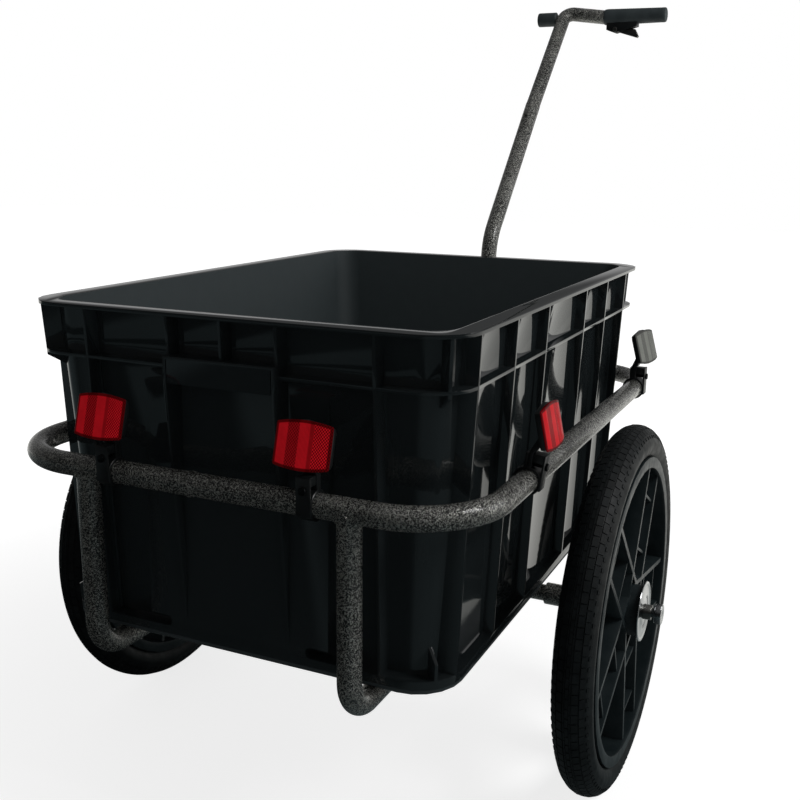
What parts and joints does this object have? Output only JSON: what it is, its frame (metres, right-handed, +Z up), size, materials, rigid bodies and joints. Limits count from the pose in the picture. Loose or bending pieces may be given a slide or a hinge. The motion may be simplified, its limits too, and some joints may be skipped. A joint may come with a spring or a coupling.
{
  "type": "bicycle cargo trailer",
  "caption": "Two-wheeled bicycle cargo trailer: ribbed plastic tub lying in a bent tube ring frame, plastic spoked wheels, sloping drawbar with handle bar, reflectors and fold-down stand.",
  "frame": {"origin": "on the ground under the middle of the overall box, wheels and stand foot resting on Z = 0", "axes": "+Z up, +Y forward to the drawbar end, +X to the right seen from behind; the wheel axle runs along X"},
  "size_m": [0.682, 1.0356, 0.9011],
  "materials": {
    "tub_plastic": "glossy injection-moulded black",
    "frame_paint": "black hammered paint with silver veins",
    "wheel_plastic": "satin black",
    "tyre_rubber": "matt black rubber",
    "grip_rubber": "matt dark slate",
    "foot_rubber": "matt black",
    "fitting_plastic": "satin black",
    "zinc_steel": "zinc plated",
    "bright_chrome": "bright plated",
    "red_lens": "prismatic red reflector",
    "clear_lens": "prismatic clear reflector"
  },
  "bodies": {
    "chassis": {"axle_middle": "frame_paint", "axle_sleeve_left": "frame_paint", "axle_sleeve_right": "frame_paint", "coupling_bracket": "fitting_plastic", "cradle_left": "frame_paint", "cradle_right": "frame_paint", "drawbar_lower": "frame_paint", "drawbar_upper": "frame_paint", "front_reflector_left_lens": "clear_lens", "front_reflector_left_screw": "zinc_steel", "front_reflector_left_strap": "fitting_plastic", "front_reflector_left_tray": "fitting_plastic", "front_reflector_right_lens": "clear_lens", "front_reflector_right_screw": "zinc_steel", "front_reflector_right_strap": "fitting_plastic", "front_reflector_right_tray": "fitting_plastic", "grip_left": "grip_rubber", "grip_right": "grip_rubber", "joint_bolt": "zinc_steel", "joint_nut": "zinc_steel", "latch_pin": "zinc_steel", "rear_reflector_left_lens": "red_lens", "rear_reflector_left_screw": "zinc_steel", "rear_reflector_left_strap": "fitting_plastic", "rear_reflector_left_tray": "fitting_plastic", "rear_reflector_right_lens": "red_lens", "rear_reflector_right_screw": "zinc_steel", "rear_reflector_right_strap": "fitting_plastic", "rear_reflector_right_tray": "fitting_plastic", "ring_saddle": "fitting_plastic", "ring_tube": "frame_paint", "saddle_bolt": "zinc_steel", "saddle_nut": "zinc_steel", "side_reflector_left_lens": "red_lens", "side_reflector_left_screw": "zinc_steel", "side_reflector_left_strap": "fitting_plastic", "side_reflector_left_tray": "fitting_plastic", "side_reflector_right_lens": "red_lens", "side_reflector_right_screw": "zinc_steel", "side_reflector_right_strap": "fitting_plastic", "side_reflector_right_tray": "fitting_plastic", "stand_pin": "zinc_steel"},
    "wheel_left": {"tyre_left": "tyre_rubber", "rim_left": "wheel_plastic", "bearing_left": "zinc_steel", "hub_cap_left": "bright_chrome"},
    "wheel_right": {"tyre_right": "tyre_rubber", "rim_right": "wheel_plastic", "bearing_right": "zinc_steel", "hub_cap_right": "bright_chrome"},
    "axle_left": {"axle_pin_left": "zinc_steel"},
    "axle_right": {"axle_pin_right": "zinc_steel"},
    "knob_left": {"release_knob_left": "bright_chrome"},
    "knob_right": {"release_knob_right": "bright_chrome"},
    "tub_body": {"tub": "tub_plastic"},
    "stand": {"stand_leg": "frame_paint", "stand_foot": "foot_rubber"},
    "latch": {"latch_lever": "zinc_steel"}
  },
  "joints": [
    {"name": "tub_lift", "type": "slide", "parent": "chassis", "child": "tub_body", "axis": [0, 0, 1], "range_m": [0, 0.36]},
    {"name": "axle_release_left", "type": "slide", "parent": "chassis", "child": "axle_left", "axis": [-1, 0, 0], "range_m": [0, 0.075]},
    {"name": "wheel_spin_left", "type": "hinge", "parent": "axle_left", "child": "wheel_left", "pos_m": [-0.2939, -0.17539, 0.1973], "axis": [1, 0, 0], "continuous": true},
    {"name": "knob_press_left", "type": "slide", "parent": "axle_left", "child": "knob_left", "axis": [1, 0, 0], "range_m": [0, 0.0035], "stiffness_N_per_m": 400},
    {"name": "axle_release_right", "type": "slide", "parent": "chassis", "child": "axle_right", "axis": [1, 0, 0], "range_m": [0, 0.075]},
    {"name": "wheel_spin_right", "type": "hinge", "parent": "axle_right", "child": "wheel_right", "pos_m": [0.2939, -0.17539, 0.1973], "axis": [1, 0, 0], "continuous": true},
    {"name": "knob_press_right", "type": "slide", "parent": "axle_right", "child": "knob_right", "axis": [-1, 0, 0], "range_m": [0, 0.0035], "stiffness_N_per_m": 400},
    {"name": "stand_fold", "type": "hinge", "parent": "chassis", "child": "stand", "pos_m": [0, 0.16161, 0.1696], "axis": [-1, 0, 0], "range_deg": [0, 90]},
    {"name": "latch_squeeze", "type": "hinge", "parent": "chassis", "child": "latch", "pos_m": [0.09, 0.50259, 0.8636], "axis": [0, -1, 0], "range_deg": [0, 6], "stiffness_Nm_per_rad": 0.4}
  ]
}
